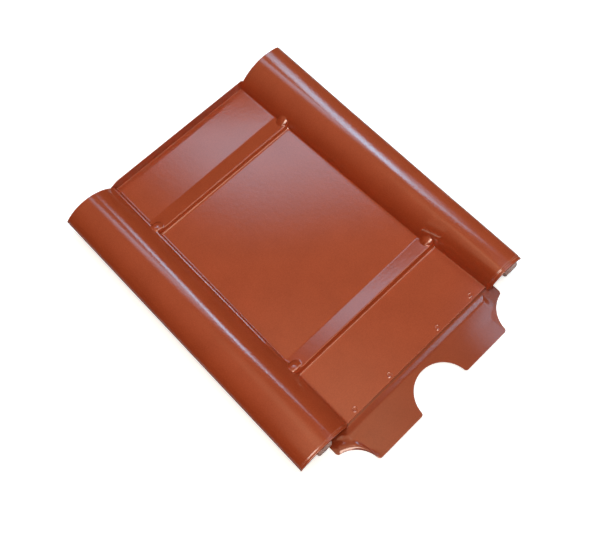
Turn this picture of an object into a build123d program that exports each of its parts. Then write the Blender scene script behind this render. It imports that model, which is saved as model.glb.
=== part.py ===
from build123d import *
import os

os.makedirs("parts", exist_ok=True)

# Pressed sheet-steel roof tile: a roll along each side, a flat pan with two cross ribs between
# them, an upstand at the head, and a scalloped apron plate under the foot edge of the pan.
# Millimetres. X runs across the tile, Y runs from foot to head, Z is up from the floor.

# Sheet stock
SHEET = 1.0
APRON_SHEET = 1.0
PAN_TOP = SHEET + APRON_SHEET

# Plan of the tile
TILE_HALF_WIDTH = 188.8
TILE_LENGTH = 434.0
APRON_REACH = 55.5
FOOT_Y = -(TILE_LENGTH + SHEET - APRON_REACH) / 2
HEAD_Y = FOOT_Y + TILE_LENGTH

# Left roll, one arc from its free edge over the crest to the pan
LEFT_EDGE_RISE = 14.0
LEFT_CREST_INSET = 38.8
LEFT_CREST_RISE = 28.5
LEFT_ROOT_INSET = 78.3
LEFT_OVERHANG = 2.5
LEFT_EDGE_X = -TILE_HALF_WIDTH
LEFT_CREST_X = LEFT_EDGE_X + LEFT_CREST_INSET
LEFT_ROOT_X = LEFT_EDGE_X + LEFT_ROOT_INSET

# Right roll, which narrows from the head to the foot and has its free edge bent down
RIGHT_EDGE_RISE = 21.0
RIGHT_BEND_INSET = 7.0
RIGHT_BEND_RISE = 26.6
RIGHT_CREST_INSET = 29.8
RIGHT_CREST_RISE = 29.8
RIGHT_ROOT_HEAD_INSET = 74.8
RIGHT_ROOT_MIDDLE_INSET = 63.8
RIGHT_ROOT_STEP_INSET = 57.8
RIGHT_ROOT_FOOT_INSET = 52.8
RIGHT_OVERHANG = 6.5
RIGHT_EDGE_X = TILE_HALF_WIDTH
RIGHT_BEND_X = RIGHT_EDGE_X - RIGHT_BEND_INSET
RIGHT_CREST_X = RIGHT_EDGE_X - RIGHT_CREST_INSET
RIGHT_ROOT_HEAD_X = RIGHT_EDGE_X - RIGHT_ROOT_HEAD_INSET
RIGHT_ROOT_MIDDLE_X = RIGHT_EDGE_X - RIGHT_ROOT_MIDDLE_INSET
RIGHT_ROOT_STEP_X = RIGHT_EDGE_X - RIGHT_ROOT_STEP_INSET
RIGHT_ROOT_FOOT_X = RIGHT_EDGE_X - RIGHT_ROOT_FOOT_INSET

# Lip turned down at the foot of each roll
LIP_DEPTH = 4.0

# Cross ribs: a long ramp that rises towards the foot, then a steep face. Each end is a dome that
# leans against the flank of the roll.
RIB_RISE = 4.6
RIB_FACE_DEPTH = 4.5
RIB_END_RADIUS = 9.5
RIB_END_LEAN = 4.0
LOWER_RIB_BASE = 82.3
LOWER_RIB_START = 106.5
UPPER_RIB_BASE = 340.3
UPPER_RIB_START = 366.2

# Upstand across the pan at the head
UPSTAND_RISE = 14.0
UPSTAND_CORNER = 5.0
UPSTAND_BEND = 2.5

# Apron plate, with its scallops in line with the rolls of the course below
APRON_SIDE_INSET = 43.8
APRON_HALF_WIDTH = TILE_HALF_WIDTH - APRON_SIDE_INSET
APRON_TUCK = 16.0
SCALLOP_PITCH = -LEFT_CREST_X
SCALLOP_RADIUS = 37.5
LOBE_CORNER = 4.0
FIELD_RISE = 2.0
FIELD_START = 3.5
FIELD_RAMP = 7.0
FIELD_SIDE_INSET = 25.5
FIELD_HALF_WIDTH = APRON_HALF_WIDTH - FIELD_SIDE_INSET

# Clinch points that hold the apron to the pan
CLINCH_RADIUS = 3.5
CLINCH_DEPTH = 0.4
CLINCH_INSET = 6.6
CLINCH_INNER = 43.0
CLINCH_END_GAP = 20.4
CLINCH_CENTRE_X = (LEFT_ROOT_X + RIGHT_ROOT_FOOT_X) / 2
CLINCH_OUTER = RIGHT_ROOT_FOOT_X - CLINCH_CENTRE_X - CLINCH_END_GAP

# Foam blocks that close the foot of each roll
SEAL_WIDTH = 22.0
SEAL_HEIGHT = 12.0
SEAL_LENGTH = 16.0
SEAL_NOSE = 3.5
SEAL_DROP = 2.3
SEAL_GAP = 0.3
LEFT_SEAL_SHIFT = -2.0
RIGHT_SEAL_SHIFT = 8.0


def left_roll_arc():
    """Top line of the left roll."""
    ThreePointArc(
        (LEFT_EDGE_X, PAN_TOP + LEFT_EDGE_RISE),
        (LEFT_CREST_X, PAN_TOP + LEFT_CREST_RISE),
        (LEFT_ROOT_X, PAN_TOP),
    )


def right_roll_arc(root_x):
    """Top line of the right roll with its root at root_x, and the bend down to its free edge."""
    crown = ThreePointArc(
        (root_x, PAN_TOP),
        (RIGHT_CREST_X, PAN_TOP + RIGHT_CREST_RISE),
        (RIGHT_BEND_X, PAN_TOP + RIGHT_BEND_RISE),
    )
    TangentArc(crown @ 1, (RIGHT_EDGE_X, PAN_TOP + RIGHT_EDGE_RISE), tangent=crown % 1)


def section_line(root_x):
    """Top line of the sheet across the tile, with the right roll's root at root_x."""
    left_roll_arc()
    Line((LEFT_ROOT_X, PAN_TOP), (root_x, PAN_TOP))
    right_roll_arc(root_x)


def across(distance):
    """Upright plane across the tile, at a distance from the foot edge of the pan."""
    return Plane.XZ.offset(-(FOOT_Y + distance))


# Distance from the foot edge and the right root's place there, from foot to head
stations = [
    (-RIGHT_OVERHANG, RIGHT_ROOT_FOOT_X),
    (0, RIGHT_ROOT_FOOT_X),
    (LOWER_RIB_BASE, RIGHT_ROOT_STEP_X),
    (LOWER_RIB_START, RIGHT_ROOT_MIDDLE_X),
    (TILE_LENGTH + SHEET, RIGHT_ROOT_HEAD_X),
]
right_slope = (RIGHT_ROOT_MIDDLE_X - RIGHT_ROOT_HEAD_X) / (TILE_LENGTH - LOWER_RIB_START)
right_root_lower = (RIGHT_ROOT_STEP_X + RIGHT_ROOT_MIDDLE_X) / 2
right_root_upper = RIGHT_ROOT_HEAD_X + right_slope * (TILE_LENGTH - UPPER_RIB_START)

# The rolled sheet before its ribs and upstand
with BuildPart() as rolled_sheet:
    bands = []
    for distance, root_x in stations:
        with BuildSketch(across(distance)) as band:
            with BuildLine():
                section_line(root_x)
                offset(amount=SHEET, side=Side.RIGHT)
            make_face()
        bands.append(band.sketch)
    loft(sections=bands, ruled=True)

# The hollow under the two rolls, open below
with BuildPart() as roll_hollow:
    fills = []
    for distance, root_x in stations:
        with BuildSketch(across(distance)) as fill:
            with BuildLine():
                section_line(root_x)
                Polyline(
                    (RIGHT_EDGE_X, PAN_TOP + RIGHT_EDGE_RISE),
                    (RIGHT_EDGE_X, PAN_TOP - SHEET),
                    (LEFT_EDGE_X, PAN_TOP - SHEET),
                    (LEFT_EDGE_X, PAN_TOP + LEFT_EDGE_RISE),
                )
            make_face()
        fills.append(fill.sketch)
    loft(sections=fills, ruled=True)
    add(rolled_sheet.part, mode=Mode.SUBTRACT)

# Solid form of the ribs, and the smaller form that hollows them from below
ribs = [
    (LOWER_RIB_BASE, LOWER_RIB_START, right_root_lower),
    (UPPER_RIB_BASE, UPPER_RIB_START, right_root_upper),
]


def rib_outline(base, start, inset):
    """Side view of a rib, drawn in by inset from its outer faces."""
    crest = base + RIB_FACE_DEPTH
    low = PAN_TOP - SHEET - inset
    Polyline(
        (FOOT_Y + base + inset, low),
        (FOOT_Y + base + inset, PAN_TOP - inset),
        (FOOT_Y + crest + inset, PAN_TOP + RIB_RISE - inset),
        (FOOT_Y + start, PAN_TOP - inset),
        (FOOT_Y + start, low),
        close=True,
    )


def add_ribs(inset):
    """Add every rib and its domed ends to the part that is being built."""
    for base, start, right_root_x in ribs:
        with BuildSketch(Plane.YZ.offset(LEFT_ROOT_X + inset)) as side_view:
            with BuildLine():
                rib_outline(base, start, inset)
            make_face()
        extrude(side_view.sketch, amount=right_root_x - LEFT_ROOT_X - 4 * inset)
        dome_y = FOOT_Y + base + RIB_END_RADIUS
        dome_z = PAN_TOP + RIB_END_LEAN
        with Locations(
            (LEFT_ROOT_X - RIB_END_LEAN, dome_y, dome_z),
            (right_root_x + RIB_END_LEAN, dome_y, dome_z),
        ):
            Sphere(RIB_END_RADIUS - inset)


with BuildPart() as rib_cores:
    add_ribs(SHEET)

# The finished sheet
with BuildPart() as tile_sheet:
    add_ribs(0)
    add(rolled_sheet.part)

    with BuildSketch(across(TILE_LENGTH)) as upstand:
        with Locations(((LEFT_ROOT_X + RIGHT_ROOT_HEAD_X) / 2, PAN_TOP)):
            Rectangle(
                RIGHT_ROOT_HEAD_X - LEFT_ROOT_X + UPSTAND_RISE,
                UPSTAND_RISE,
                align=(Align.CENTER, Align.MIN),
            )
        chamfer(upstand.vertices().group_by(Axis.Z)[-1], UPSTAND_CORNER)
    extrude(amount=-SHEET)
    with BuildSketch(Plane.YZ.offset(LEFT_ROOT_X)):
        with BuildLine():
            RadiusArc((HEAD_Y - UPSTAND_BEND, PAN_TOP), (HEAD_Y, PAN_TOP + UPSTAND_BEND), UPSTAND_BEND)
            Polyline(
                (HEAD_Y, PAN_TOP + UPSTAND_BEND),
                (HEAD_Y, PAN_TOP),
                (HEAD_Y - UPSTAND_BEND, PAN_TOP),
            )
        make_face()
    extrude(amount=RIGHT_ROOT_HEAD_X - LEFT_ROOT_X)

    add(roll_hollow.part, mode=Mode.SUBTRACT)
    add(rib_cores.part, mode=Mode.SUBTRACT)

    # The left roll and the pan end further back than the right roll
    for low_x, high_x, overhang in (
        (LEFT_EDGE_X - SHEET, LEFT_ROOT_X, LEFT_OVERHANG),
        (LEFT_ROOT_X, RIGHT_ROOT_FOOT_X, 0),
    ):
        with Locations((low_x, FOOT_Y - overhang, 0)):
            Box(
                high_x - low_x,
                RIGHT_OVERHANG - overhang,
                TILE_HALF_WIDTH,
                align=(Align.MIN, Align.MAX, Align.MIN),
                mode=Mode.SUBTRACT,
            )

    with BuildSketch(across(-LEFT_OVERHANG)):
        with BuildLine():
            left_roll_arc()
            offset(amount=SHEET + LIP_DEPTH, side=Side.RIGHT)
        make_face()
    extrude(amount=-SHEET)
    with BuildSketch(across(-RIGHT_OVERHANG)):
        with BuildLine():
            right_roll_arc(RIGHT_ROOT_FOOT_X)
            offset(amount=SHEET + LIP_DEPTH, side=Side.RIGHT)
        make_face()
    extrude(amount=-SHEET)

    with Locations((0, 0, PAN_TOP - SHEET)):
        Box(
            2 * TILE_LENGTH,
            2 * TILE_LENGTH,
            RIB_END_RADIUS,
            align=(Align.CENTER, Align.CENTER, Align.MAX),
            mode=Mode.SUBTRACT,
        )

    with Locations((CLINCH_CENTRE_X, FOOT_Y + CLINCH_INSET, PAN_TOP)):
        with Locations((-CLINCH_OUTER, 0), (-CLINCH_INNER, 0), (CLINCH_INNER, 0), (CLINCH_OUTER, 0)):
            Cylinder(
                CLINCH_RADIUS,
                CLINCH_DEPTH,
                align=(Align.CENTER, Align.CENTER, Align.MAX),
                mode=Mode.SUBTRACT,
            )

# The apron plate: flat wings and tuck, and a raised field with a ramp on three sides
with BuildPart() as apron_plate:
    with BuildSketch():
        with Locations((0, FOOT_Y + APRON_TUCK)):
            Rectangle(2 * APRON_HALF_WIDTH, APRON_TUCK + APRON_REACH, align=(Align.CENTER, Align.MAX))
    extrude(amount=APRON_SHEET)
    for level, mode in ((APRON_SHEET, Mode.ADD), (0, Mode.SUBTRACT)):
        with BuildSketch(Plane.XY.offset(level)):
            with Locations((0, FOOT_Y - FIELD_START)):
                Rectangle(
                    2 * (FIELD_HALF_WIDTH + FIELD_RAMP),
                    APRON_REACH,
                    align=(Align.CENTER, Align.MAX),
                )
        with BuildSketch(Plane.XY.offset(level + FIELD_RISE)):
            with Locations((0, FOOT_Y - FIELD_START - FIELD_RAMP)):
                Rectangle(
                    2 * FIELD_HALF_WIDTH,
                    APRON_REACH - FIELD_RAMP,
                    align=(Align.CENTER, Align.MAX),
                )
        loft(mode=mode)
    with BuildSketch() as outline:
        with Locations((0, FOOT_Y + APRON_TUCK)):
            Rectangle(2 * APRON_HALF_WIDTH, APRON_TUCK + APRON_REACH, align=(Align.CENTER, Align.MAX))
        with Locations((-SCALLOP_PITCH, FOOT_Y - APRON_REACH), (0, FOOT_Y - APRON_REACH),
                       (SCALLOP_PITCH, FOOT_Y - APRON_REACH)):
            Circle(SCALLOP_RADIUS, mode=Mode.SUBTRACT)
        lobe_corners = outline.vertices().group_by(Axis.Y)[0]
        fillet(lobe_corners, LOBE_CORNER)
    extrude(amount=APRON_SHEET + FIELD_RISE, mode=Mode.INTERSECT)

# The foam blocks under the rolls, each with a nose that passes below the lip
seals = []
for seal_x, crest_rise, overhang in (
    (LEFT_CREST_X + LEFT_SEAL_SHIFT, LEFT_CREST_RISE, LEFT_OVERHANG),
    (RIGHT_CREST_X + RIGHT_SEAL_SHIFT, RIGHT_CREST_RISE, RIGHT_OVERHANG),
):
    body_top = PAN_TOP + crest_rise - SHEET - SEAL_DROP
    nose_top = body_top - LIP_DEPTH
    lip_y = FOOT_Y - overhang
    with BuildPart() as seal:
        with Locations((seal_x, lip_y + SHEET + SEAL_GAP, body_top)):
            Box(SEAL_WIDTH, SEAL_LENGTH, SEAL_HEIGHT, align=(Align.CENTER, Align.MIN, Align.MAX))
        with Locations((seal_x, lip_y - SEAL_NOSE, nose_top)):
            Box(
                SEAL_WIDTH,
                SEAL_NOSE + SEAL_LENGTH,
                SEAL_HEIGHT - LIP_DEPTH,
                align=(Align.CENTER, Align.MIN, Align.MAX),
            )
    seals.append(seal)
left_seal, right_seal = seals

tile_sheet.part.label = "tile_sheet"
export_step(tile_sheet.part, "parts/tile_sheet.step")
apron_plate.part.label = "apron_plate"
export_step(apron_plate.part, "parts/apron_plate.step")
left_seal.part.label = "left_seal"
export_step(left_seal.part, "parts/left_seal.step")
right_seal.part.label = "right_seal"
export_step(right_seal.part, "parts/right_seal.step")
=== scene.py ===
import bpy
import numpy as np
from mathutils import Matrix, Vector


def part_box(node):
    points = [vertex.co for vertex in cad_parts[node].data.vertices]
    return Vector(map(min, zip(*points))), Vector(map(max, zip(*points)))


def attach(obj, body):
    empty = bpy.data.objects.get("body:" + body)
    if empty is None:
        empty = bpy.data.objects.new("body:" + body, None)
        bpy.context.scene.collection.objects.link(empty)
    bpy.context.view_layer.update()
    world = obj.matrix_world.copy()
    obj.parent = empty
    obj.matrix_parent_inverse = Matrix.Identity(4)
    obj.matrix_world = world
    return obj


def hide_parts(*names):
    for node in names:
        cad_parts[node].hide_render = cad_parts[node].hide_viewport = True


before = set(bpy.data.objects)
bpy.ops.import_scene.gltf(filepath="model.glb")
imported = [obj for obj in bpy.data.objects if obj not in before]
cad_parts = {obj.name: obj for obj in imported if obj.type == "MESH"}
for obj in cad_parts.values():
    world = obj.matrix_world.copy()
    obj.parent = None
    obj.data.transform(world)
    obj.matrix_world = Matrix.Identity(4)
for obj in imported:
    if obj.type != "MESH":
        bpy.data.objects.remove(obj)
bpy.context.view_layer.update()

# Roof sheet: one piece of thin steel, powder-coated brick red. A roll runs up each side, the pan
# between them is stiffened by two cross ribs, and the pan's head is folded up into an upstand.
# It is pressed in one stroke, so every form flows into the next.

# Sizes in millimetres: x runs across the tile, y up it from the pan's foot edge, and z up from the
# pan's upper face.
MM = 0.001
STEEL = 1.0
PAN_TOP = 2.0
LENGTH = 434.0
RIGHT_OVERHANG = 6.5
sheet_low, sheet_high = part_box("tile_sheet")
FOOT_Y = sheet_low.y / MM + RIGHT_OVERHANG
LEFT_EDGE = sheet_low.x / MM
RIGHT_EDGE = sheet_high.x / MM
CREST_HEIGHT = sheet_high.z / MM - PAN_TOP - 0.02


def ease(value, start, end):
    """Smooth step of value: 0 at start, 1 at end, with level ends."""
    t = np.clip((value - start) / (end - start), 0.0, 1.0)
    return t * t * (3.0 - 2.0 * t)


def blend_high(a, b, reach):
    """Greater of two heights, with a fillet where they differ by less than reach."""
    near = np.maximum(reach - np.abs(a - b), 0.0) / reach
    return np.maximum(a, b) + near * near * reach / 4.0


def blend_low(a, b, reach):
    """Lesser of two heights, with the edge between them rounded over reach."""
    return -blend_high(-a, -b, reach)


def steps(*runs):
    """One rising line of values from runs of (start, end, spacing)."""
    line = [np.linspace(a, b, max(2, round((b - a) / gap) + 1))[:-1] for a, b, gap in runs]
    return np.concatenate(line + [np.array([runs[-1][1]])])


def grid_piece(name, grids, material):
    """Mesh object from grids of points in millimetres: quads join neighbours in each grid, facing
    the side from which the columns run right while the rows run up."""
    points = []
    faces = []
    count = 0
    for grid in grids:
        rows, columns = grid.shape[:2]
        index = count + np.arange(rows * columns).reshape(rows, columns)
        corners = [index[:-1, :-1], index[:-1, 1:], index[1:, 1:], index[1:, :-1]]
        points.append(grid.reshape(-1, 3))
        faces.append(np.stack(corners, axis=-1).reshape(-1, 4))
        count += rows * columns
    mesh = bpy.data.meshes.new(name)
    mesh.from_pydata(np.concatenate(points) * MM, [], np.concatenate(faces))
    mesh.update()
    mesh.polygons.foreach_set("use_smooth", np.ones(len(mesh.polygons), bool))
    mesh.materials.append(material)
    piece = bpy.data.objects.new(name, mesh)
    bpy.context.scene.collection.objects.link(piece)
    return piece


def give_thickness(piece, thickness):
    """Sheet metal thickness, measured from the outer face inwards."""
    wall = piece.modifiers.new("wall", "SOLIDIFY")
    wall.thickness = thickness * MM
    wall.offset = -1.0
    wall.use_rim = True


# The left roll is a circle over a low middle. A small shelf runs along its root.
LEFT_ROOT = -110.5
LEFT_MIDDLE = -154.32
LEFT_RADIUS = 47.8
LEFT_SINK = 19.1
SHELF_X = -115.3
SHELF_HEIGHT = 8.3
SHELF_FALL = 0.3
SHELF_WALL = 3.3
SHELF_START = -120.0
SHELF_GROWS = (96.0, 140.0)
SHELF_EDGE = 0.8
SHELF_FILLET = 0.6


def left_roll(x, y):
    """Height of the left roll: a circle over a low middle, raised to the shelf at its root. The
    shelf is a shallow slope that ends in a steep wall, and it dies out towards the foot."""
    arc = np.sqrt(np.maximum(LEFT_RADIUS**2 - (x - LEFT_MIDDLE)**2, 0.0)) - LEFT_SINK
    slope = SHELF_HEIGHT - SHELF_FALL * (x - SHELF_X)
    wall = (LEFT_ROOT - x) * SHELF_WALL
    shelf = blend_high(arc, blend_low(slope, wall, SHELF_EDGE), SHELF_FILLET)
    return np.where(x > SHELF_START, arc + (shelf - arc) * ease(y, *SHELF_GROWS), arc)


# The right roll narrows from head to foot, and its top falls gently to a turned-down free edge.
ROOT_LINE = ((0.0, 82.0, 107.5, LENGTH), (136.0, 131.0, 125.0, 114.0))
CREST_LINE = ((0.0, 100.0, 200.0, 300.0, LENGTH), (157.0, 157.0, 158.0, 157.5, 158.5))
SQUARENESS = 1.7
FALL = 0.006
BELOW_PAN = 3.0


def right_root(y):
    """Where the right roll meets the pan: straight stretches, the steepest at the lower rib."""
    return np.interp(y, *ROOT_LINE)


def right_crest(y):
    """Where the right roll is highest."""
    return np.interp(y, *CREST_LINE)


def right_roll(x, y):
    """Height of the right roll: a superellipse from its root to the crest, then a parabola that
    falls towards the free edge. Left of the root it drops below the pan, out of sight."""
    root = right_root(y)
    crest = right_crest(y)
    across = np.clip((crest - x) / (crest - root), 0.0, 1.0)
    rising = CREST_HEIGHT * (1.0 - across**SQUARENESS) ** (1 / SQUARENESS)
    falling = CREST_HEIGHT - FALL * (x - crest)**2
    return np.where(x < root, -BELOW_PAN * (root - x), np.where(x > crest, falling, rising))


# The ribs run from where their steep face starts to where their ramp ends.
RIBS = ((82.3, 106.5), (340.3, 366.2))
RIB_RISE = 4.8
FACE_DEPTH = 4.5
FACE_FILLET = 2.2
RAMP_FILLET = 0.25
RIDGE_FILLET = 1.3


def rib(y, base, end):
    """Side view of a cross rib: a steep face at the foot side, a rounded ridge where it meets the
    long ramp, and the ramp down to the pan."""
    face = blend_high((y - base) * RIB_RISE / FACE_DEPTH, 0.0 * y, FACE_FILLET)
    ramp = blend_high((end - y) * RIB_RISE / (end - base - FACE_DEPTH), 0.0 * y, RAMP_FILLET)
    here = (y > base - 3.0) & (y < end + 2.0)
    return np.where(here, blend_low(face, ramp, RIDGE_FILLET), 0.0)


# Each rib ends in two rounded noses, which lean up the flanks of the rolls.
NOSE_LENGTH = 12.0
NOSE_WIDTH = 8.5
NOSE_HEIGHT = 7.5
LEFT_NOSE_IN = 3.0
LEFT_NOSE_UP = 10.0
LEFT_NOSE_Z = 1.0
LEFT_CLIMB = -0.35
RIGHT_NOSE_OUT = 1.5
RIGHT_NOSE_UP = 12.0
RIGHT_NOSE_Z = 3.0
RIGHT_CLIMB = 0.5
BURIED = -9.0


def nose(x, y, middle_x, middle_y, middle_z, climb):
    """Rounded nose at the end of a rib: half an egg, with climb added for each millimetre of x.
    Outside the egg's outline it is buried below every other form."""
    square = 1.0 - ((x - middle_x) / NOSE_LENGTH)**2 - ((y - middle_y) / NOSE_WIDTH)**2
    top = middle_z + climb * (x - middle_x) + NOSE_HEIGHT * np.sqrt(np.maximum(square, 0.0))
    return np.where(square > 0.0, top, BURIED)


# A faint ridge is drawn up along each root of the rolls, and fillets join the forms.
RIDGE_HEIGHT = 0.8
RIDGE_WIDTH = 0.7
ROOT_FILLET = 1.5
NOSE_FILLET = 1.0


def sheet_height(x, y):
    """Height of the sheet: the greatest of rolls, pan with ribs, and noses, merged by fillets. The
    ridge along a root falls off as an exponential of the distance from it."""
    from_left = np.maximum(x - LEFT_ROOT, 0.0)
    from_right = np.maximum(right_root(y) - x, 0.0)
    pan = RIDGE_HEIGHT * np.exp(-from_left / RIDGE_WIDTH)
    pan = pan + RIDGE_HEIGHT * np.exp(-from_right / RIDGE_WIDTH)
    for base, end in RIBS:
        pan = pan + rib(y, base, end)
    height = blend_high(left_roll(x, y), pan, ROOT_FILLET)
    height = blend_high(height, right_roll(x, y), ROOT_FILLET)
    for base, end in RIBS:
        left_y = base + LEFT_NOSE_UP
        right_y = base + RIGHT_NOSE_UP
        right_x = right_root(right_y) + RIGHT_NOSE_OUT
        left_nose = nose(x, y, LEFT_ROOT + LEFT_NOSE_IN, left_y, LEFT_NOSE_Z, LEFT_CLIMB)
        right_nose = nose(x, y, right_x, right_y, RIGHT_NOSE_Z, RIGHT_CLIMB)
        height = blend_high(blend_high(height, left_nose, NOSE_FILLET), right_nose, NOSE_FILLET)
    return height


# Grid lines of the sheet: runs of (start, end, spacing), close together where it bends. The pan's
# and the right roll's columns are shares of the way across, so they follow the moving root.
FOOT_ROWS = 16
HEAD_BEND = 1.5
ROWS = steps(
    (0, 8, 0.5), (8, 76, 4), (76, 81, 1), (81, 91, 0.45), (91, 104, 1), (104, 110, 0.6),
    (110, 332, 6), (332, 339, 1), (339, 349, 0.45), (349, 364, 1.2), (364, 369, 0.6),
    (369, 374, 1.2), (374, 430, 4), (430, LENGTH - HEAD_BEND, 0.5),
)
PAN_START = -106
ROOT_MARGIN = 2.0
LEFT_COLUMNS = steps((LEFT_EDGE, -123, 2.4), (-123, PAN_START, 0.4))
PAN_SHARES = steps((0, 22, 1.0), (22, 206, 8), (206, 222, 1.0), (222, 228, 0.4))[1:] / 228
RIGHT_SHARES = steps((0, 10, 0.4), (10, 60, 2.0), (60, 74.8, 1.6))[1:] / 74.8

# The free edge of the right roll is turned down. It stands a little further in along the middle.
EDGE_TURN = 1.25
EDGE_DEPTH = 6.8
WAIST = 188.2
EDGE_LINE = ((0, 50, 130, 300, 400), (RIGHT_EDGE, RIGHT_EDGE, WAIST, WAIST, RIGHT_EDGE))
EDGE_CLEARANCE = 0.1


def across_sheet():
    """Columns of x and z from the left edge to the right: LEFT_COLUMNS, then shares of the pan and
    of the right roll up to its brow, then an arc that turns from the roll's slope there to
    EDGE_TURN from level."""
    root = right_root(ROWS)[:, None]
    edge_x = np.interp(ROWS, *EDGE_LINE) - EDGE_CLEARANCE
    brow = (edge_x - EDGE_DEPTH)[:, None]
    x = np.concatenate([
        np.broadcast_to(LEFT_COLUMNS, (len(ROWS), len(LEFT_COLUMNS))),
        PAN_START + (root - ROOT_MARGIN - PAN_START) * PAN_SHARES,
        root - ROOT_MARGIN + (brow - root + ROOT_MARGIN) * RIGHT_SHARES,
    ], axis=1)
    z = sheet_height(x, ROWS[:, None])
    tilt = np.arctan(2.0 * FALL * (brow - right_crest(ROWS)[:, None]))
    curl = EDGE_DEPTH / (np.sin(EDGE_TURN) - np.sin(tilt))
    turn = tilt + (EDGE_TURN - tilt) * np.linspace(0.0, 1.0, 13)[1:]
    x = np.concatenate([x, brow + curl * (np.sin(turn) - np.sin(tilt))], axis=1)
    z = np.concatenate([z, z[:, -1:] - curl * (np.cos(tilt) - np.cos(turn))], axis=1)
    return x, z


# At the foot, each roll reaches past the pan, steps down to a narrow flange and ends in a lip. All
# this grows with the height of the sheet, so that it dies out at the roots.
ROLL_GROWS = (0.6, 3.0)
ROLL_MARGIN = 3
FOOT_RUN = 8
LEFT_REACH = 2.4
RIGHT_REACH = 5.8
CORNER_REACH = 1.6
CORNER_START = 136
CORNER_WIDTH = 52.8
LEFT_FLANGE = 2.2
RIGHT_FLANGE = 3.5
LEFT_STEP = 0.8
RIGHT_STEP = 1.2
STEP_LENGTH = 1.6
LIP_DROP = 3.2
PAN_LIP = 0.05
FOOT_BEND = 1.3
LOWEST_LIP = -0.95


def sheet_foot(x, y, z, on_roll):
    """Foot of the sheet: its first rows are pulled out by the reach of the rolls and stepped down
    to the flange. Below them come a quarter turn of bend and the lip. The share on_roll is 1 on the
    rolls and 0 on the pan. Returns the lip's rows, lowest first, and the sheet's new y and z."""
    at_left = x < 0
    corner = CORNER_REACH * np.clip((x - CORNER_START) / CORNER_WIDTH, 0, 1)**3
    reach = (np.where(at_left, LEFT_REACH, RIGHT_REACH + corner) * on_roll)[0]
    y = y - reach * np.maximum(1 - y / FOOT_RUN, 0.0)
    flange = np.where(at_left, LEFT_FLANGE, RIGHT_FLANGE)
    step = np.where(at_left, LEFT_STEP, RIGHT_STEP)
    z = z - step * on_roll * (1 - ease(y + reach, flange, flange + STEP_LENGTH))

    turn = np.linspace(0.0, np.pi / 2, 6)[1:, None]
    bend = FOOT_BEND - 0.1 * on_roll[0]
    bend_y = y[0] - bend * np.sin(turn)
    bend_z = z[0] - bend * (1 - np.cos(turn))
    drop = (LIP_DROP * on_roll[0] + PAN_LIP) * np.array([0.33, 0.66, 1.0])[:, None]
    lip = np.stack([
        np.broadcast_to(x[0], (len(turn) + len(drop), x.shape[1])),
        np.concatenate([bend_y, np.broadcast_to(bend_y[-1], drop.shape)]) + bend,
        np.maximum(np.concatenate([bend_z, bend_z[-1] - drop]), LOWEST_LIP),
    ], axis=-1)
    y = y + bend * np.maximum(1 - np.arange(len(ROWS)) / FOOT_ROWS, 0)[:, None]
    return lip[::-1], y, z


# At the head, the pan is folded up between the rolls, lower where it runs out on their flanks.
UPSTAND = 14.5
UPSTAND_LINE = ((-117.0, -105.4, 115.8, 120.0), (10.0, UPSTAND, UPSTAND, 11.0))
UPSTAND_ENDS = (-116.6, 119.4)
ROLL_END_DROP = 0.4


def sheet_head(x, z):
    """Head of the sheet from its last row: a quarter turn of bend that dies out where the roll is
    as high as the upstand, then a wall up to the upstand's top. The rolls end in a short drop."""
    top = np.interp(x, *UPSTAND_LINE)
    in_pan = (x > UPSTAND_ENDS[0]) & (x < UPSTAND_ENDS[1]) & (top > z)
    share = np.where(in_pan, top - z, 0.0) / UPSTAND
    turn = np.linspace(0.0, np.pi / 2, 8)[1:, None]
    bend_y = LENGTH - HEAD_BEND + HEAD_BEND * np.sin(turn)
    bend_z = z + HEAD_BEND * (1 - np.cos(turn)) * share
    level = np.linspace(0.0, 1.0, 9)[1:, None]
    wall_z = bend_z[-1] + level * np.where(in_pan, top - bend_z[-1], -ROLL_END_DROP)
    return np.stack([
        np.broadcast_to(x, (len(turn) + len(level), len(x))),
        np.concatenate([np.broadcast_to(bend_y, bend_z.shape), np.full(wall_z.shape, LENGTH)]),
        np.concatenate([bend_z, wall_z]),
    ], axis=-1)


def sheet_grid():
    """The sheet's outer face as rows from the foot lips to the top of the upstand."""
    x, z = across_sheet()
    y = np.broadcast_to(ROWS[:, None], x.shape)
    beside_pan = (x < LEFT_ROOT + ROLL_MARGIN) | (x > right_root(ROWS)[:, None] - ROLL_MARGIN)
    foot, y, z = sheet_foot(x, y, z, ease(z, *ROLL_GROWS) * beside_pan)
    body = np.stack([x, y, z], axis=-1)
    head = sheet_head(x[-1], z[-1])
    return np.concatenate([foot, body, head]) + np.array([0.0, FOOT_Y, PAN_TOP])


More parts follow.
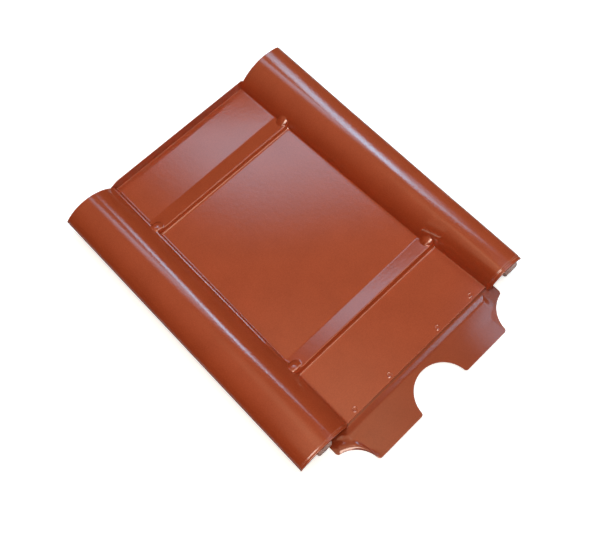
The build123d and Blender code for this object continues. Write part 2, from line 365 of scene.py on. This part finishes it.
class Wire:
    """A value in a material's node tree. Arithmetic with wires and numbers adds Math nodes."""

    def __init__(self, tree, socket=None):
        self.tree = tree
        self.socket = socket

    def node(self, kind, settings, inputs, outlet=0):
        """Add a node of a kind: its settings first, then the values or links of its sockets."""
        made = self.tree.nodes.new(kind)
        for key, value in settings.items():
            if key == "stops":
                for place, colour in value[2:]:
                    made.color_ramp.elements.new(place)
                for element, (place, colour) in zip(made.color_ramp.elements, value):
                    element.position = place
                    element.color = colour
            else:
                setattr(made, key, value)
        for key, value in inputs.items():
            if isinstance(value, Wire):
                self.tree.links.new(value.socket, made.inputs[key])
            else:
                made.inputs[key].default_value = value
        return Wire(self.tree, made.outputs[outlet]) if made.outputs else made

    def maths(self, operation, *values):
        return self.node("ShaderNodeMath", {"operation": operation}, dict(enumerate(values)))

    def __add__(self, other):
        return self.maths("ADD", self, other)

    def __radd__(self, other):
        return self.maths("ADD", other, self)

    def __sub__(self, other):
        return self.maths("SUBTRACT", self, other)

    def __rsub__(self, other):
        return self.maths("SUBTRACT", other, self)

    def __mul__(self, other):
        return self.maths("MULTIPLY", self, other)

    def __rmul__(self, other):
        return self.maths("MULTIPLY", other, self)

    def __truediv__(self, other):
        return self.maths("DIVIDE", self, other)

    def __pow__(self, other):
        return self.maths("POWER", self, other)


def new_material(name):
    """An empty node material and the wire that its nodes start from."""
    material = bpy.data.materials.new(name)
    material.use_nodes = True
    material.node_tree.nodes.clear()
    return material, Wire(material.node_tree)


def part_of(vector, letter):
    """One coordinate of a vector, by its letter."""
    return vector.node("ShaderNodeSeparateXYZ", {}, {"Vector": vector}, letter)


def noise(place, scale, detail):
    """Smooth noise between about 0 and 1, with scale waves to the metre."""
    return place.node(
        "ShaderNodeTexNoise", {}, {"Vector": place, "Scale": scale, "Detail": detail}
    )


# The coat's colour, how far its darkest and lightest spots go from it, and the scales of its
# patterns in waves to the metre. The two bumps are depths in metres.
BRICK_RED = (0.335, 0.052, 0.0165)
DARK_SPOTS = (0.86, 0.84, 0.82)
LIGHT_SPOTS = (1.14, 1.18, 1.2)
CLOUD_SCALE = 26.0
PEEL_SCALE = 240.0
GRAIN_SCALE = 620.0
PEEL_DEPTH = 0.00008
GRAIN_DEPTH = 0.00002
SATIN = 0.12


def powder_coat(name, shade, painted_shadow_strength):
    """Satin powder coat: brick red with faint clouding and fine grain, and the orange peel of
    a sprayed and baked film as two scales of bump. Shade scales the whole colour. The last argument
    is how much painted shadow darkens it on a band 1 mm below the pan's foot edge, in that edge's
    shade, and, by about half as much, on the apron's right end, in the shade of the right roll."""
    material, wire = new_material(name)
    place = wire.node("ShaderNodeTexCoord", {}, {}, "Object")
    along = part_of(place, "Y") / MM - FOOT_Y
    sideways = part_of(place, "X") / MM
    # Painted shadow: a band about 3 mm wide, 1 mm below the pan's foot edge, where that edge shades
    # the apron, and the apron's right wing beyond x = 121 mm, in the right roll's shade, are
    # darkened in the colour.
    line = wire.maths("MINIMUM", wire.maths("ABSOLUTE", along + 1.0) * -1.3 + 1.9, 1.0)
    wing = wire.maths("MINIMUM", wire.maths("MAXIMUM", sideways * 0.25 - 30.2, 0.0), 1.0)
    painted_shadow_factor = 1.0 - wire.maths("MAXIMUM", line, 0.0) * painted_shadow_strength
    painted_shadow_factor = painted_shadow_factor * (1.0 - wing * painted_shadow_strength * 0.55)
    grain = noise(place, GRAIN_SCALE, 2.0)
    tone = (noise(place, CLOUD_SCALE, 3.0) - 0.5) * 0.5 + (grain - 0.5) * 0.9 + 0.5
    dark = tuple(level * spot for level, spot in zip(BRICK_RED, DARK_SPOTS)) + (1.0,)
    light = tuple(level * spot for level, spot in zip(BRICK_RED, LIGHT_SPOTS)) + (1.0,)
    stops = [(0.2, dark), (0.8, light)]
    colour = wire.node("ShaderNodeValToRGB", {"stops": stops}, {"Fac": tone})
    colour = wire.node(
        "ShaderNodeVectorMath", {"operation": "SCALE"}, {0: colour, "Scale": painted_shadow_factor * shade}
    )
    waves = wire.node("ShaderNodeBump", {}, {
        "Height": noise(place, PEEL_SCALE, 1.5), "Strength": 1.0, "Distance": PEEL_DEPTH,
    })
    bumps = wire.node("ShaderNodeBump", {}, {
        "Height": grain, "Strength": 1.0, "Distance": GRAIN_DEPTH, "Normal": waves,
    })
    shader = wire.node("ShaderNodeBsdfPrincipled", {}, {
        "Base Color": colour,
        "Roughness": SATIN + (grain - 0.5) * 0.1,
        "IOR": 1.5,
        "Normal": bumps,
    })
    wire.node("ShaderNodeOutputMaterial", {}, {"Surface": shader})
    return material


coat = powder_coat("powder_coat", 1.0, 0.0)
sheet = grid_piece("roof_sheet", [sheet_grid()], coat)
give_thickness(sheet, STEEL)
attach(sheet, "root")
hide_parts("tile_sheet")

# Apron: a separate steel plate in the same coat, clinched under the foot edge of the pan. Its
# raised field stiffens it, and its edge is cut to pass round the rolls of the course below.
apron_low, apron_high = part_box("apron_plate")
APRON_HALF = apron_high.x / MM
APRON_FOOT = apron_low.y / MM - FOOT_Y
NOTCH = 37.8
SCALLOP = 37.4
SCALLOP_X = 150.0
SCALLOP_END = np.pi / 2 + 0.134
LOBE_CORNER = 4.0
WING_CORNER = 3.0


def apron_edge():
    """Right half of the plate's foot edge as (x, y) from the middle of the notch to the side edge:
    notch arc, corner, straight lobe edge, corner and scallop arc, with a rounded last corner."""
    tuck = np.arcsin(LOBE_CORNER / (NOTCH + LOBE_CORNER))
    corner_x = (NOTCH + LOBE_CORNER) * np.cos(tuck)
    notch = np.linspace(np.pi / 2, tuck, 40)
    turn = np.linspace(np.pi + tuck, 1.5 * np.pi, 9)[1:]
    outer_tuck = np.arcsin(LOBE_CORNER / (SCALLOP + LOBE_CORNER))
    outer_x = SCALLOP_X - (SCALLOP + LOBE_CORNER) * np.cos(outer_tuck)
    lobe = np.linspace(corner_x, outer_x, 24)[1:]
    outer_turn = np.linspace(1.5 * np.pi, 2 * np.pi - outer_tuck, 9)[1:]
    scallop = np.linspace(np.pi - outer_tuck, SCALLOP_END, 34)[1:]
    x = np.concatenate([
        NOTCH * np.cos(notch),
        corner_x + LOBE_CORNER * np.cos(turn),
        lobe,
        outer_x + LOBE_CORNER * np.cos(outer_turn),
        SCALLOP_X + SCALLOP * np.cos(scallop),
    ])
    y = np.concatenate([
        NOTCH * np.sin(notch),
        LOBE_CORNER + LOBE_CORNER * np.sin(turn),
        0 * lobe,
        LOBE_CORNER + LOBE_CORNER * np.sin(outer_turn),
        SCALLOP * np.sin(scallop),
    ])
    past = np.maximum(x - (APRON_HALF - WING_CORNER), 0.0)
    rounding = WING_CORNER - np.sqrt(np.maximum(WING_CORNER**2 - past**2, 0.0))
    return np.minimum(x, APRON_HALF), APRON_FOOT + y + rounding


# The field rises over a ramp at its back and one at each side. It droops towards its ends, and the
# rim of the left scallop curls up.
TUCK = 16.0
APRON_SHARES = steps((0, 14, 0.5), (14, 34, 1.6), (34, 60, 0.5), (60, 71.5, 2.5)) / 71.5
FIELD_RISE = 2.0
FIELD_BACK = -2.6
FIELD_SIDE = 126.5
BACK_RAMP = 8.0
SIDE_RAMP = 7.0
RAMP_EDGE = 0.25
DROOP_START = 60.0
RIGHT_DROOP = 0.00075
LEFT_DROOP = 0.0004
MOST_DROOP = 1.9
RIM_CURL = 1.9
RIM_WIDTH = 6.0


def apron_grid():
    """Outer face of the plate: every column runs from the foot edge to the tuck under the pan. The
    height is a flat plate, the field as a clipped slope with rounded edges, less a droop that grows
    with the square of x, and the rim's curl as a parabola that levels off and fades."""
    half_x, half_y = apron_edge()
    x = np.concatenate([-half_x[:0:-1], half_x])
    foot = np.concatenate([half_y[:0:-1], half_y])
    y = foot + (TUCK - foot) * APRON_SHARES[:, None]
    x = np.broadcast_to(x, y.shape)
    inset = np.minimum((FIELD_BACK - y) / BACK_RAMP, (FIELD_SIDE - np.abs(x)) / SIDE_RAMP)
    field = blend_low(blend_high(inset, 0 * inset, RAMP_EDGE), 1.0 + 0 * inset, RAMP_EDGE)
    droop = RIGHT_DROOP * np.maximum(x - DROOP_START, 0.0)**2
    droop = droop + LEFT_DROOP * np.maximum(-DROOP_START - x, 0.0)**2
    droop = droop * (0.1 + 0.9 * ease(-y, 10.0, 34.0))
    from_edge = y - foot
    curl_here = ease(-x, 106.0, 116.0) * (1.0 - ease(-x, 137.0, 144.0))
    rim = 1.0 - np.clip(1.0 - from_edge / RIM_WIDTH, 0.0, 1.0)**2
    curl = RIM_CURL * curl_here * (rim - ease(from_edge, RIM_WIDTH, 3 * RIM_WIDTH))
    z = -STEEL + (FIELD_RISE - np.minimum(droop, MOST_DROOP)) * field + curl
    return np.stack([x, y, z], axis=-1) + np.array([0.0, FOOT_Y, PAN_TOP])


# The apron's coat carries the painted shadow below the pan's foot edge and under the right roll.
apron = grid_piece("apron", [apron_grid()], powder_coat("apron_coat", 0.8, 0.35))
give_thickness(apron, STEEL)
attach(apron, "root")
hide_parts("apron_plate")

# Clinch points: four small round marks along the pan's foot edge, where a punch has locked the pan
# into the apron below it without a rivet. Each shows as a fine raised ring in the coat.
CLINCH_Y = 6.6
CLINCH_X = (-91.7, -31.9, 53.9, 114.0)
RING_RADII = (4.1, 3.7, 3.4, 3.1, 2.8, 2.5, 1.6, 0.3)
RING_HEIGHTS = (-0.1, 0.05, 0.33, 0.42, 0.33, 0.06, 0.04, 0.05)


def ring_grid(x, y):
    """Turned profile of one mark: the radius falls from the rim to the middle over a low ring."""
    radius = np.array(RING_RADII)[:, None]
    height = np.array(RING_HEIGHTS)[:, None]
    angle = np.linspace(0, 2 * np.pi, 41)
    return np.stack([
        x + radius * np.cos(angle),
        y + radius * np.sin(angle),
        height + 0 * angle,
    ], axis=-1)[::-1] + np.array([0.0, FOOT_Y, PAN_TOP])


clinches = grid_piece("clinch_marks", [ring_grid(x, CLINCH_Y) for x in CLINCH_X], coat)
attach(clinches, "root")

# Foam seals: a soft grey closed-cell block glued under the foot of each roll, cut from ribbed
# strip, which keeps driven rain out of the roll below.
PORE_COLOUR = (0.16, 0.09, 0.08, 1.0)
SKIN_COLOUR = (0.5, 0.34, 0.31, 1.0)
PORE_SCALE = 900.0
PORE_DEPTH = 0.0004
ROUNDNESS = 0.25
GROOVES = 5.5
GROOVE_DEPTH = 0.02


def foam():
    """Closed-cell foam: matt grey with a warm tinge and fine open pores on its cut faces."""
    material, wire = new_material("grey_foam")
    cells = noise(wire.node("ShaderNodeTexCoord", {}, {}, "Object"), PORE_SCALE, 3.0)
    stops = [(0.35, PORE_COLOUR), (0.65, SKIN_COLOUR)]
    colour = wire.node("ShaderNodeValToRGB", {"stops": stops}, {"Fac": cells})
    pores = wire.node(
        "ShaderNodeBump", {}, {"Height": cells, "Strength": 0.8, "Distance": PORE_DEPTH}
    )
    shader = wire.node(
        "ShaderNodeBsdfPrincipled", {}, {"Base Color": colour, "Roughness": 0.9, "Normal": pores}
    )
    wire.node("ShaderNodeOutputMaterial", {}, {"Surface": shader})
    return material


def squared(wave):
    """A sine or cosine raised to a low power with its sign kept, which rounds a box."""
    return np.sign(wave) * np.abs(wave)**ROUNDNESS


def seal_grid(low, high):
    """A block with crowned faces: a sphere's directions pushed out to a rounded box, with shallow
    grooves that run up its front."""
    middle = np.array((low + high) / 2) / MM
    half = np.array(high - low) / 2 / MM
    angle = np.linspace(0, 2 * np.pi, 97)
    rise = np.linspace(-np.pi / 2, np.pi / 2, 49)[:, None]
    ring = np.abs(np.cos(rise))**ROUNDNESS
    sideways = squared(np.cos(angle))
    groove = 1.0 - GROOVE_DEPTH * (1 - np.cos(sideways * GROOVES * np.pi))
    return np.stack([
        middle[0] + half[0] * ring * sideways,
        middle[1] + half[1] * ring * squared(np.sin(angle)) * groove,
        middle[2] + half[2] * squared(np.sin(rise)) + 0 * angle,
    ], axis=-1)


foam_coat = foam()
for node in ("left_seal", "right_seal"):
    low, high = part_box(node)
    seal = grid_piece("foam_" + node, [seal_grid(low, high)], foam_coat)
    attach(seal, "root")
    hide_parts(node)

# Camera: above the foot end of the left roll, looking down the tile.
camera_data = bpy.data.cameras.new("camera")
camera_data.lens = 46.496
camera_data.sensor_width = 36.0
camera = bpy.data.objects.new("camera", camera_data)
camera.matrix_world = Matrix((
    (0.72069, 0.65205, -0.23546, -0.24824),
    (-0.69308, 0.67000, -0.26597, -0.27273),
    (-0.01566, 0.35488, 0.93478, 0.92616),
    (0.0, 0.0, 0.0, 1.0),
))
bpy.context.scene.collection.objects.link(camera)
bpy.context.scene.camera = camera

# Floor: a wide pale sheet of paper under the tile, a hair below it. It looks pale to the camera
# and in the coat, and throws less light up at the tile.
FLOOR_HALF = 4000.0
FLOOR_GAP = 0.3
PAPER = (0.86, 0.86, 0.86, 1.0)
PAPER_BOUNCE = (0.35, 0.35, 0.35, 1.0)
PAPER_GLOW = 0.55
WHITE = (1.0, 1.0, 1.0, 1.0)


def level_grid(half, count, height):
    """A level square about the origin at a height, with count lines each way."""
    x, y = np.meshgrid(np.linspace(-half, half, count), np.linspace(-half, half, count))
    return np.stack([x, y, 0 * x + height], axis=-1)


floor_material, wire = new_material("pale_paper")
seen = wire.node("ShaderNodeLightPath", {}, {}, "Is Camera Ray")
mirrored = wire.node("ShaderNodeLightPath", {}, {}, "Is Glossy Ray")
paper = wire.node("ShaderNodeBsdfDiffuse", {}, {"Color": PAPER})
bounce = wire.node("ShaderNodeBsdfDiffuse", {}, {"Color": PAPER_BOUNCE})
glow = wire.node("ShaderNodeEmission", {}, {"Color": WHITE, "Strength": seen * PAPER_GLOW})
bright = wire.node("ShaderNodeAddShader", {}, {0: paper, 1: glow})
either = wire.maths("MAXIMUM", seen, mirrored)
both = wire.node("ShaderNodeMixShader", {}, {0: either, 1: bounce, 2: bright})
wire.node("ShaderNodeOutputMaterial", {}, {"Surface": both})
floor = grid_piece("floor", [level_grid(FLOOR_HALF, 9, -FLOOR_GAP)], floor_material)

# Ceiling: a broad warm glow over and behind the camera, like a lit ceiling, with a soft front edge
# and a brighter patch over the tile's middle. Its edges are places in metres, from dark to lit.
LIGHT_HALF = 2000.0
CEILING_HEIGHT = 1010.0
CEILING_COLOUR = (1.0, 0.74, 0.46, 1.0)
CEILING_STRENGTH = 1.05
PATCH_MIDDLE = (0.0, 0.06, 1.01)
PATCH_SHARE = 0.6


def edge(value, dark, lit):
    """Smooth step of a value: 0 where it is at dark, 1 where it is at lit."""
    return value.node(
        "ShaderNodeMapRange",
        {"interpolation_type": "SMOOTHSTEP"},
        {"Value": value, "From Min": dark, "From Max": lit},
    )


def glowing_sheet(name, height, colour, level, material):
    """A level sheet of light at a height in millimetres, which lets other light through. The
    camera doesn't see it. Level is the wire of its strength."""
    glow = level.node("ShaderNodeEmission", {}, {"Color": colour, "Strength": level})
    clear = level.node("ShaderNodeBsdfTransparent", {}, {})
    both = level.node("ShaderNodeAddShader", {}, {0: clear, 1: glow})
    level.node("ShaderNodeOutputMaterial", {}, {"Surface": both})
    panel = grid_piece(name, [level_grid(LIGHT_HALF, 3, height)], material)
    panel.visible_camera = False


ceiling_material, wire = new_material("ceiling_glow")
place = wire.node("ShaderNodeTexCoord", {}, {}, "Object")
x = part_of(place, "X")
y = part_of(place, "Y")
broad = edge(x, 0.45, -0.05) * edge(y, 0.12, -0.14) * edge(x, -1.5, -1.0) * edge(y, -1.1, -0.7)
away = wire.node(
    "ShaderNodeVectorMath", {"operation": "DISTANCE"}, {0: place, 1: PATCH_MIDDLE}, "Value"
)
level = (broad + edge(away, 0.34, 0.04) * PATCH_SHARE) * CEILING_STRENGTH
glowing_sheet("ceiling", CEILING_HEIGHT, CEILING_COLOUR, level, ceiling_material)

# Softbox: three cool panels with soft edges to the right of the tile. The near one shows in the
# pan and the ramps, the far one as the streaks on the rolls, and the low one in the apron.
SOFTBOX_HEIGHT = 1000.0
SOFTBOX_COLOUR = (0.36, 0.74, 1.0, 1.0)
NEAR_STRENGTH = 5.0
FAR_STRENGTH = 12.0
LOW_STRENGTH = 3.4

softbox_material, wire = new_material("softbox_glow")
place = wire.node("ShaderNodeTexCoord", {}, {}, "Object")
x = part_of(place, "X")
y = part_of(place, "Y")
near_panel = (
    edge(x, 0.08, 0.34)
    * edge(y + x * 0.66, 0.5, 0.9)
    * edge(x * 0.66 + y * 0.75, 0.9, 0.79)
    * edge(y, 0.03, 0.3)
)
slant = wire.maths("MAXIMUM", y, 0.75 - y * 2.0)
far_panel = (
    edge(x - y * 0.2, 0.5, 0.63)
    * edge(x - slant * 0.45, 0.75, 0.54)
    * edge(y, -0.08, 0.12)
    * edge(x + y, 0.86, 0.98)
    * edge(y, 1.15, 0.6)
)
low_panel = (
    edge(x, 0.36, 0.66)
    * edge(y, -0.06, -0.2)
    * edge(y, -0.65, -0.5)
    * edge(x, 1.1, 0.95)
)
level = (near_panel * NEAR_STRENGTH + far_panel * FAR_STRENGTH) * edge(y, 1.15, 0.95)
level = level + low_panel * LOW_STRENGTH
glowing_sheet("softbox", SOFTBOX_HEIGHT, SOFTBOX_COLOUR, level, softbox_material)

# Small lamp: the bright middle of the overhead light, which makes the sharp glints.
lamp_data = bpy.data.lights.new("small_lamp", "AREA")
lamp_data.size = 0.06
lamp_data.energy = 0.1
lamp_data.color = (1.0, 0.85, 0.7)
small_lamp = bpy.data.objects.new("small_lamp", lamp_data)
small_lamp.location = (-0.22, -0.16, 0.99)
bpy.context.scene.collection.objects.link(small_lamp)

# Room: bright overhead and dim at the horizon, and white behind the tile. Where the coat mirrors
# it, it is warmer, with a small bright window and a strip of light low on the foot side.
ROOM_FADE = 2.5
ROOM_COLOUR = (1.0, 0.9, 0.83, 1.0)
ROOM_STRENGTH = 1.28
ROOM_HORIZON = 0.02
MIRRORED_COLOUR = (1.0, 0.43, 0.23, 1.0)
MIRRORED_STRENGTH = 1.3
MIRRORED_HORIZON = 0.03
WINDOW_DIRECTION = (-0.35, -0.6, 0.72)
WINDOW_COLOUR = (1.0, 0.9, 0.8, 1.0)
WINDOW_STRENGTH = 11.0
STRIP_COLOUR = (1.0, 0.82, 0.62, 1.0)
STRIP_STRENGTH = 6.0

world = bpy.data.worlds.new("studio")
world.use_nodes = True
world.node_tree.nodes.clear()
air = Wire(world.node_tree)


def sky_light(colour, strength):
    """Light from the room in one colour."""
    return air.node("ShaderNodeBackground", {}, {"Color": colour, "Strength": strength})


upward = air.node("ShaderNodeTexCoord", {}, {}, "Generated")
height = part_of(upward, "Z")
seen = air.node("ShaderNodeLightPath", {}, {}, "Is Camera Ray")
mirrored = air.node("ShaderNodeLightPath", {}, {}, "Is Glossy Ray")
room = air.maths("MAXIMUM", height, 0.0) ** ROOM_FADE
lit = sky_light(ROOM_COLOUR, room * ROOM_STRENGTH + ROOM_HORIZON)
shown = sky_light(MIRRORED_COLOUR, room * MIRRORED_STRENGTH + MIRRORED_HORIZON)
toward = air.node(
    "ShaderNodeVectorMath", {"operation": "DOT_PRODUCT"}, {0: upward, 1: WINDOW_DIRECTION}, "Value"
)
window = sky_light(WINDOW_COLOUR, edge(toward, 0.91, 0.97) * WINDOW_STRENGTH)
shown = air.node("ShaderNodeAddShader", {}, {0: shown, 1: window})
lean = part_of(upward, "Y") * -1.0 / air.maths("MAXIMUM", height, 0.05)
strip = sky_light(STRIP_COLOUR, edge(lean, 0.45, 0.6) * edge(lean, 1.1, 0.9) * STRIP_STRENGTH)
shown = air.node("ShaderNodeAddShader", {}, {0: shown, 1: strip})
unseen = air.node("ShaderNodeMixShader", {}, {0: mirrored, 1: lit, 2: shown})
sky = air.node("ShaderNodeMixShader", {}, {0: seen, 1: unseen, 2: sky_light(WHITE, 1.0)})
air.node("ShaderNodeOutputWorld", {}, {"Surface": sky})
bpy.context.scene.world = world
bpy.context.scene.view_settings.view_transform = "Standard"
